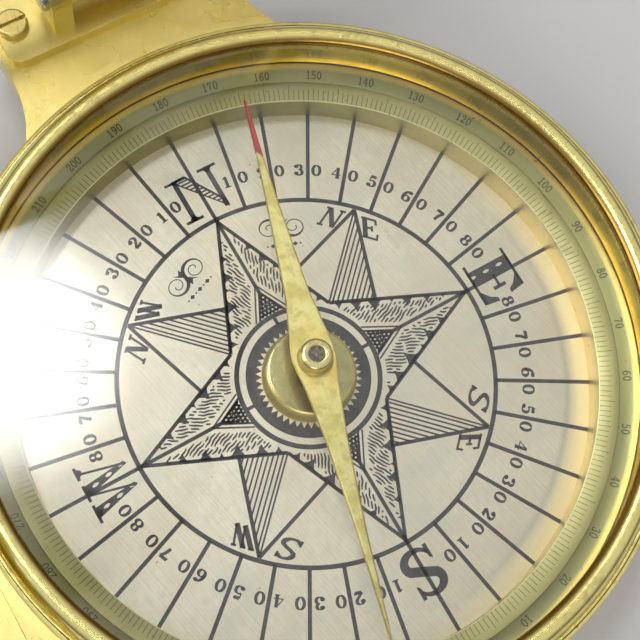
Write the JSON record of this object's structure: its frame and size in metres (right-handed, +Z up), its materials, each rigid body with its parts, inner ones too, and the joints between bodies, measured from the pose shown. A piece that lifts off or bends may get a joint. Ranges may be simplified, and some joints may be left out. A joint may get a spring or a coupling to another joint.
{
  "type": "pocket sundial",
  "caption": "Brass equinoctial pocket sundial: a glazed compass with a hinged hour ring, folding gnomon and hinged latitude arc, shown opened.",
  "frame": {"origin": "middle of the flat base, which rests on the table", "axes": "+Z up, +Y towards the dial's north point and the hour ring's hinge, +X towards its east point"},
  "size_m": [0.0917, 0.1074, 0.1092],
  "materials": {
    "case_brass": "lacquered, fine turning marks",
    "bezel_brass": "polished turned brass",
    "silvered_dial": "silvered, brushed, lightly tarnished",
    "scale_brass": "satin, engraved",
    "needle_brass": "satin, red lacquered north tip",
    "steel": "ground",
    "screw_brass": "turned, slotted",
    "agate": "polished agate",
    "glass": "clear, polished",
    "ring_brass": "satin, engraved and black filled"
  },
  "bodies": {
    "compass": {"case_body": "case_brass", "base_plate": "case_brass", "base_screws": "screw_brass", "dial_plate": "silvered_dial", "degree_ring": "scale_brass", "dial_screws": "screw_brass", "pivot_hub": "bezel_brass", "pivot_pin": "steel", "glass": "glass", "glass_spring_ring": "bezel_brass", "bezel": "bezel_brass", "ring_bracket": "case_brass", "ring_bracket_screws": "screw_brass", "ring_hinge_pin": "steel", "arc_bracket": "case_brass", "arc_bracket_screws": "screw_brass", "arc_hinge_pin": "steel"},
    "needle": {"needle_blade": "needle_brass", "needle_cap": "bezel_brass", "cap_jewel": "agate"},
    "ring": {"hour_ring": "ring_brass", "index_pointer": "ring_brass", "pointer_rivets": "screw_brass"},
    "gnomon": {"gnomon_bar": "ring_brass", "gnomon_rod": "steel"},
    "arc": {"latitude_arc": "ring_brass"}
  },
  "joints": [
    {"name": "needle_spin", "type": "hinge", "parent": "compass", "child": "needle", "pos_m": [0, 0, 0.0125], "axis": [0, 0, 1], "continuous": true},
    {"name": "hour_ring_hinge", "type": "hinge", "parent": "compass", "child": "ring", "pos_m": [0, 0.0495, 0.0194], "axis": [1, 0, 0], "range_deg": [0, 100]},
    {"name": "gnomon_fold", "type": "hinge", "parent": "ring", "child": "gnomon", "pos_m": [0, 0.0581, 0.06815], "axis": [1, 0, 0], "range_deg": [0, 90]},
    {"name": "latitude_arc_hinge", "type": "hinge", "parent": "compass", "child": "arc", "pos_m": [-0.045, 0, 0.0167], "axis": [0, 1, 0], "range_deg": [0, 90]}
  ]
}
